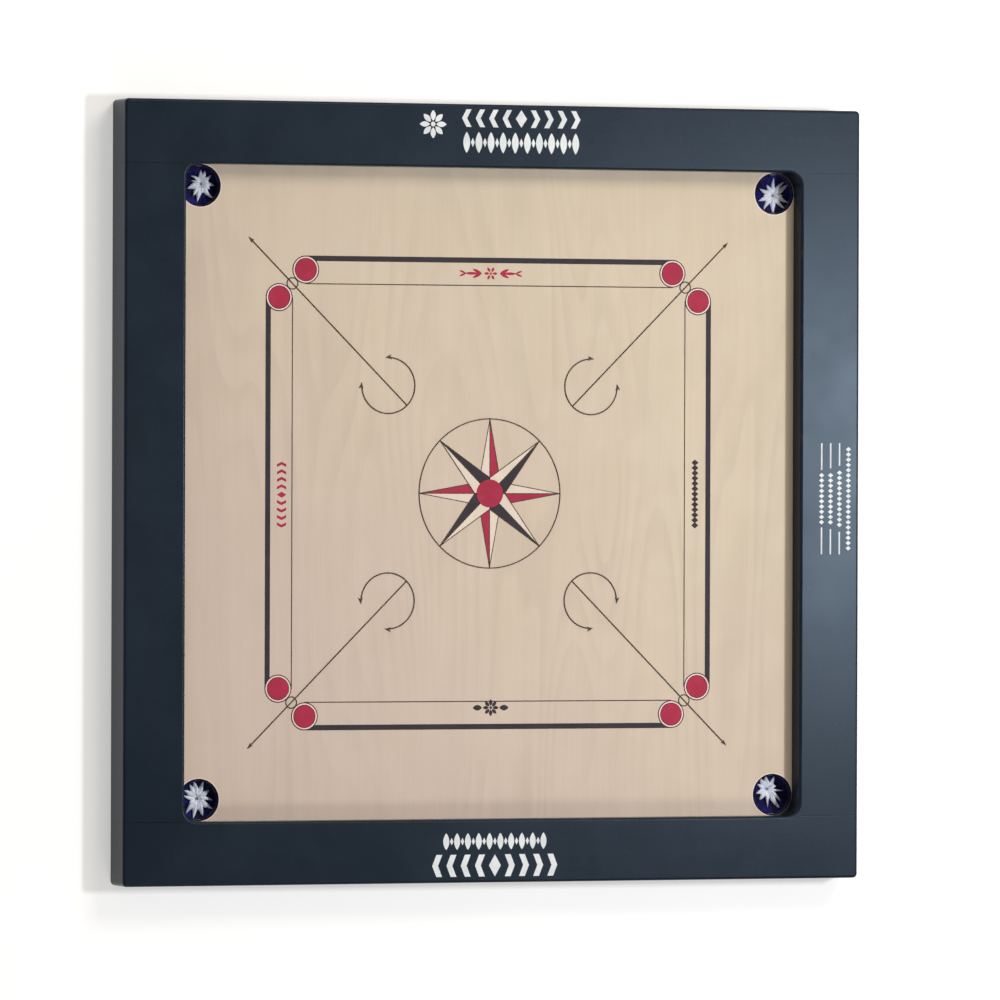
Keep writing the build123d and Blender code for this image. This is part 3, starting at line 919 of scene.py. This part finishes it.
def pouch(corner):
    """A cloth pouch: lining, floor of standing folds drawn in to a gather, and a tied tail below."""
    low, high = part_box(f"{corner}_pouch")
    centre = ((low.x + high.x) / 2 / MM, (low.y + high.y) / 2 / MM)
    rim_z = high.z / MM
    inner_radius = (high.x - low.x) / 2 / MM - CLOTH - LINING_GAP
    gather, folds = POUCHES[corner]
    rng = random.Random(POUCH_SEED + sorted(POUCHES).index(corner))
    seed = Vector((rng.uniform(0, 50), rng.uniform(0, 50), rng.uniform(0, 50)))

    def wrinkle(angle, radius, count):
        """Smooth noise with about this many creases round the cloth."""
        turn = count / (2 * math.pi)
        spot = Vector((math.cos(angle) * turn, math.sin(angle) * turn, radius * 0.11))
        return noise.noise(spot + seed)

    vertices, pale_values, painted_cloth_shade_values = [], [], []
    rings = ring_plan(rim_z, low.z / MM, inner_radius)
    for zone, ring_radius, height in rings:
        inward = 1 - ring_radius / inner_radius
        for spoke in range(POUCH_SPOKES):
            angle = 2 * math.pi * spoke / POUCH_SPOKES
            radius, z = ring_radius, height
            pale, shade = 0.0, 1.0
            shift = Vector((0.0, 0.0))
            if zone == "wall":
                depth = (rim_z - z) / 8
                crease = wrinkle(angle, 0.0, 26) + 0.4 * wrinkle(angle, z, 60)
                radius -= max(0.0, 0.35 + 1.1 * crease) * min(1.0, depth)
                # Painted shade: darker in the lining's creases and towards the hole's top edge
                shade = (0.62 + 0.45 * crease) * (0.15 + 0.85 * min(1.0, depth * 1.5))
            if zone == "floor":
                shift = Vector(gather) * min(1.0, inward * 1.25) ** 1.3
            x = shift.x + radius * math.cos(angle)
            y = shift.y + radius * math.sin(angle)
            if zone == "floor":
                off_x, off_y = x - gather[0], y - gather[1]
                reach = math.hypot(off_x, off_y)
                bearing = math.atan2(off_y, off_x)
                inside = folded(bearing, reach, folds)
                core = HUB_RADIUS + HUB_SWAY * wrinkle(bearing, 3.0, 9)
                hub = max(0.0, min(1.0, (core - reach) / 2.5))
                inside = max(inside, hub)
                crease = wrinkle(bearing, reach * 0.6, 40) + 0.7 * wrinkle(bearing, reach * 0.5, 90)
                stand = math.sin(math.pi * min(1.0, (reach + 1.0) / 24.0)) ** 0.7 * FOLD_HEIGHT
                ridge = math.sqrt(max(0.0, 1 - (1 - inside) ** 2)) if inside > 0 else 0.0
                settle = min(1.0, max(0.0, (reach - 1.0) / 4.0)) ** 0.7
                z += ridge * stand * settle
                z += (0.85 * crease + 0.25) * settle * (0.5 + 0.5 * ridge)
                low_fold = wrinkle(bearing, reach, 30)
                z += 1.3 * low_fold * (1 - ridge) * min(1.0, inward * 2.5)
                z -= GATHER_DIP * max(0.0, 1 - reach / GATHER_RADIUS)
                pale = min(1.0, inside * 5.0)
                # Painted highlight and shade along the pale folds' wrinkles, painted shade in the
                # navy's low folds
                shade = 0.86 + 0.50 * crease if pale > 0.4 else 0.55 + 0.9 * low_fold
                # Painted shade at the gather
                shade *= min(1.0, 0.05 + (reach / GATHER_SHADE_RADIUS) ** 2)
                # Painted shade near the lining
                rim_gap = inner_radius - math.hypot(x, y)
                shade *= 0.30 + 0.70 * min(1.0, rim_gap / RIM_SHADE)
            if zone in ("neck", "tail"):
                pleat = math.sin(angle * 12 + 2.0 * wrinkle(angle, z, 6))
                swing = 0.12 if zone == "neck" else 0.35
                radius += swing * pleat
                x, y = radius * math.cos(angle), radius * math.sin(angle)
                if height > 7:
                    x, y = x + gather[0] * 0.55, y + gather[1] * 0.55
                # Painted shade in the pleats of the neck and tail
                pale, shade = 1.0, 0.55 + 0.3 * pleat
            vertices.append(((centre[0] + x) * MM, (centre[1] + y) * MM, z * MM))
            pale_values.append(pale)
            painted_cloth_shade_values.append(max(0.0, min(1.0, shade)))

    faces = []
    for ring in range(len(rings) - 1):
        first, second = ring * POUCH_SPOKES, (ring + 1) * POUCH_SPOKES
        for spoke in range(POUCH_SPOKES):
            after = (spoke + 1) % POUCH_SPOKES
            faces.append((first + after, first + spoke, second + spoke, second + after))

    name = f"{corner}_cloth_pouch"
    mesh = bpy.data.meshes.new(name)
    mesh.from_pydata(vertices, [], faces)
    mesh.update()
    for label, values in (("pale", pale_values), ("painted_cloth_shade", painted_cloth_shade_values)):
        layer = mesh.attributes.new(label, "FLOAT", "POINT")
        layer.data.foreach_set("value", values)
    mesh.polygons.foreach_set("use_smooth", [True] * len(mesh.polygons))
    made = bpy.data.objects.new(name, mesh)
    bpy.context.scene.collection.objects.link(made)
    thickness = made.modifiers.new("thickness", "SOLIDIFY")
    thickness.thickness = CLOTH * MM
    thickness.offset = 1.0
    return made


# ---------------------------------------------------------------- studio

def add_camera():
    """The camera, far to the upper left of the board's middle and tilted towards it."""
    back = Vector((
        -math.sin(CAMERA_TILT) * math.cos(CAMERA_LEAN),
        -math.sin(CAMERA_LEAN),
        math.cos(CAMERA_TILT) * math.cos(CAMERA_LEAN),
    )).normalized()
    right = Vector((0, 1, 0)).cross(back).normalized()
    up = back.cross(right)
    cos, sin = math.cos(CAMERA_ROLL), math.sin(CAMERA_ROLL)
    right, up = right * cos + up * sin, up * cos - right * sin
    data = bpy.data.cameras.new("camera")
    data.lens = CAMERA_LENS
    data.sensor_width = 36.0
    data.clip_start = 0.1
    data.clip_end = 200.0
    camera = bpy.data.objects.new("camera", data)
    bpy.context.scene.collection.objects.link(camera)
    place = Vector(CAMERA_AIM_M) + back * CAMERA_DISTANCE_M
    turn = Matrix((right, up, back)).transposed().to_4x4()
    camera.matrix_world = Matrix.Translation(place) @ turn
    bpy.context.scene.camera = camera


def add_light(name, place, target, size, power, color=(1.0, 1.0, 1.0)):
    """A soft rectangular light; the second size is along the board's Y where it can be."""
    data = bpy.data.lights.new(name, "AREA")
    data.shape = "RECTANGLE"
    data.size, data.size_y = size
    data.energy = power
    data.color = color
    lamp = bpy.data.objects.new(name, data)
    bpy.context.scene.collection.objects.link(lamp)
    aim = Vector(target) - Vector(place)
    back = -aim.normalized()
    side = Vector((0, 1, 0)).cross(back).normalized()
    lamp.matrix_world = Matrix.Translation(place) @ Matrix(
        (side, back.cross(side), back)
    ).transposed().to_4x4()
    lamp.visible_camera = False


def add_floor():
    """A plain floor that runs out of sight."""
    steps, half = 12, 60.0
    vertices, faces = [], []
    for row in range(steps + 1):
        for column in range(steps + 1):
            vertices.append((
                half * (2 * column / steps - 1), half * (2 * row / steps - 1), -0.2 * MM
            ))
    for row in range(steps):
        for column in range(steps):
            first = row * (steps + 1) + column
            faces.append((first, first + 1, first + steps + 2, first + steps + 1))
    mesh = bpy.data.meshes.new("studio_floor")
    mesh.from_pydata(vertices, [], faces)
    mesh.materials.append(floor_material())
    made = bpy.data.objects.new("studio_floor", mesh)
    bpy.context.scene.collection.objects.link(made)


def add_world():
    """Soft surrounding light: dim overhead, pale towards the horizon."""
    world = bpy.data.worlds.new("studio")
    bpy.context.scene.world = world
    world.use_nodes = True
    tree = world.node_tree
    background = tree.nodes["Background"]
    direction = add(tree, "ShaderNodeTexCoord").outputs["Generated"]
    up = parts_of(tree, direction)[2]
    shade = ranged(tree, up, 0.05, 0.60)
    color = blend(tree, shade, (0.86, 0.86, 0.86), (0.17, 0.165, 0.15))
    tree.links.new(color, background.inputs["Color"])
    background.inputs["Strength"].default_value = 1.0


# ---------------------------------------------------------------- assembly

def paint(node, material):
    """Gives a CAD node its material."""
    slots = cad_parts[node].data.materials
    slots.clear()
    slots.append(material)


bpy.context.scene.view_settings.view_transform = "Standard"
add_camera()

paint_x, paint_y = frame_paint("x"), frame_paint("y")
for node in ("front_rail", "back_rail"):
    paint(node, paint_x)
for node in ("left_rail", "right_rail"):
    paint(node, paint_y)
for corner in CORNERS:
    paint(f"{corner}_cove", paint_x)
paint("playing_panel", birch_panel())
batten_x, batten_y = batten_wood("x"), batten_wood("y")
for node in ("front_batten", "back_batten"):
    paint(node, batten_x)
for node in ("left_batten", "right_batten"):
    paint(node, batten_y)
cord = twisted_cord()
for corner in CORNERS:
    paint(f"{corner}_pouch_tie", cord)
paint("pocket_staples", plated_steel("staple_wire", (0.10, 0.10, 0.13), 0.45, 0.65))
screws = plated_steel("screw_steel", (0.60, 0.58, 0.50), 0.22, 0.42)
for node in ("corner_screws", "panel_screws", "batten_screws", "batten_end_screws"):
    paint(node, screws)

black_ink = ink("ink_black", (0.018, 0.014, 0.020), (0.028, 0.020, 0.030))
line_ink = ink("ink_line", (0.040, 0.024, 0.014), (0.062, 0.040, 0.024))
slate_ink = ink("ink_slate", (0.020, 0.013, 0.018), (0.030, 0.020, 0.028))
red_ink = ink("ink_red", (0.330, 0.010, 0.042), (0.400, 0.014, 0.058))
pale_ink = ink("ink_pale", (0.80, 0.56, 0.52), (0.86, 0.64, 0.60))
star_ink = ink("ink_star_pale", (0.70, 0.60, 0.51), (0.76, 0.65, 0.56), thin=0.35)
white_ink = ink("ink_white", (0.62, 0.65, 0.68), (0.74, 0.76, 0.78))

thick, thin = base_lines()
film("base_lines_thick", thick, black_ink)
film("base_lines_thin", thin, line_ink)
rims, bands, discs = base_circles()
film("base_circle_rims", rims, slate_ink)
film("base_circle_bands", bands, pale_ink)
film("base_circle_discs", discs, red_ink)
film("corner_arrows", corner_arrows(), line_ink)
red, dark, pale, lines = star()
film("star_red_halves", red, red_ink)
film("star_dark_halves", dark, slate_ink)
film("star_pale_halves", pale, star_ink)
film("star_outlines", lines, line_ink)
film("centre_circle", centre_circle(), line_ink)
film("centre_disc", [(circle((0, 0), CENTRE_DISC), None, 9)], red_ink)
rail_ornaments(white_ink)
surface_ornaments(slate_ink, red_ink)

cloth = pouch_cloth()
for corner in CORNERS:
    piece = pouch(corner)
    piece.data.materials.append(cloth)
    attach(piece, "root")
    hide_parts(f"{corner}_pouch")

add_floor()
add_world()
add_light("key", (1.64, 0.06, 3.10), (0.0, 0.0, 0.0), (0.24, 0.40), 61.0, (0.97, 1.0, 1.03))
add_light("back_fill", (1.0, 2.1, 2.6), (0.0, 0.0, 0.0), (1.5, 1.3), 54.0, (1.0, 0.91, 0.80))
add_light("front_fill", (-0.1, -2.0, 2.0), (0.0, 0.0, 0.0), (0.8, 0.6), 13.0, (1.0, 0.96, 0.90))
